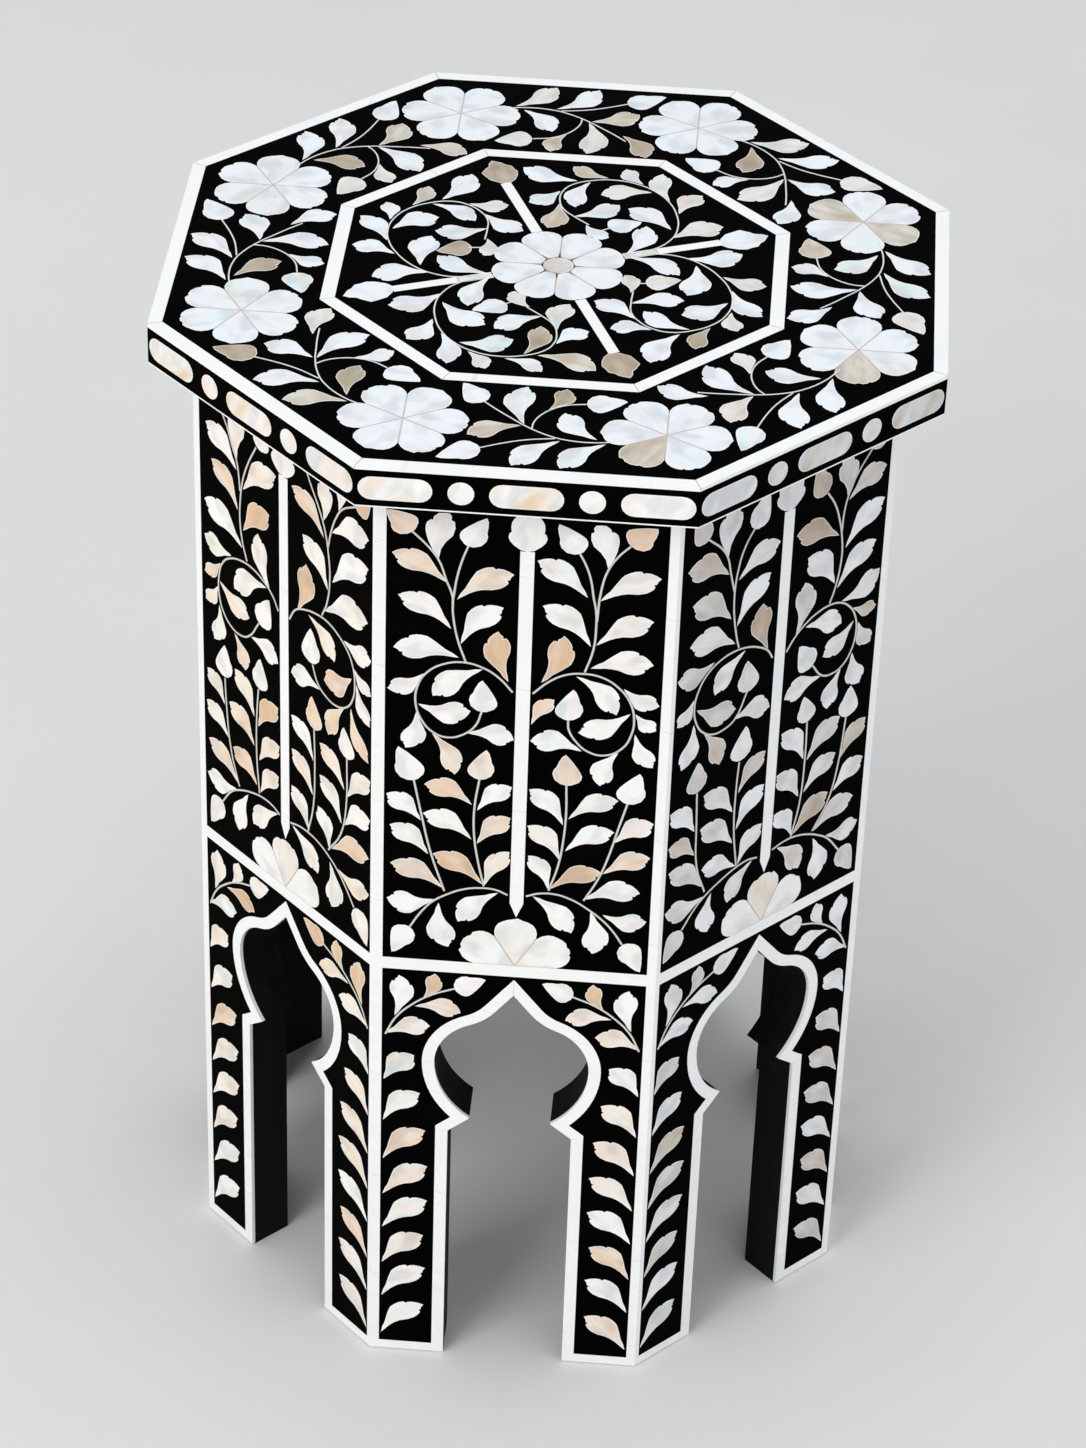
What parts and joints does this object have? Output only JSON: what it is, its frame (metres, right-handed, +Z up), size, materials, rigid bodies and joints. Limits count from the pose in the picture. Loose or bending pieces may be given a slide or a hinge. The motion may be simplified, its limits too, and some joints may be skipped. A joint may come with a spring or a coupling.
{
  "type": "octagonal side table",
  "caption": "Octagonal side table: mitred case with an ogee arch in every side, overhanging top, black resin faces inlaid with white shell strips, flowers and vines.",
  "frame": {"origin": "middle of the table on the floor", "axes": "+Z up, the front side faces -Y, flats of the octagon square to X and Y"},
  "size_m": [0.305, 0.305, 0.457],
  "materials": {
    "painted_wood": "matte",
    "dark_wood": "matte",
    "black_resin": "gloss",
    "white_shell": "gloss"
  },
  "bodies": {
    "root": {"arch_strips": "white_shell", "centre_flower": "white_shell", "centre_strips": "white_shell", "cleat_1": "dark_wood", "cleat_2": "dark_wood", "cleat_3": "dark_wood", "cleat_4": "dark_wood", "cleat_5": "dark_wood", "cleat_6": "dark_wood", "cleat_7": "dark_wood", "cleat_8": "dark_wood", "cleat_pegs": "dark_wood", "corner_block_1": "dark_wood", "corner_block_2": "dark_wood", "corner_block_3": "dark_wood", "corner_block_4": "dark_wood", "corner_block_5": "dark_wood", "corner_block_6": "dark_wood", "corner_block_7": "dark_wood", "corner_block_8": "dark_wood", "corner_strips": "white_shell", "foot_strips": "white_shell", "half_flowers": "white_shell", "inner_ring_strips": "white_shell", "mitre_splines": "dark_wood", "panel_resin_1": "black_resin", "panel_resin_2": "black_resin", "panel_resin_3": "black_resin", "panel_resin_4": "black_resin", "panel_resin_5": "black_resin", "panel_resin_6": "black_resin", "panel_resin_7": "black_resin", "panel_resin_8": "black_resin", "rail_strips": "white_shell", "rim_resin": "black_resin", "rim_strips": "white_shell", "side_panel_1": "painted_wood", "side_panel_2": "painted_wood", "side_panel_3": "painted_wood", "side_panel_4": "painted_wood", "side_panel_5": "painted_wood", "side_panel_6": "painted_wood", "side_panel_7": "painted_wood", "side_panel_8": "painted_wood", "spoke_strips": "white_shell", "top_board": "painted_wood", "top_border_strips": "white_shell", "top_flowers": "white_shell", "top_resin": "black_resin"}
  },
  "joints": []
}
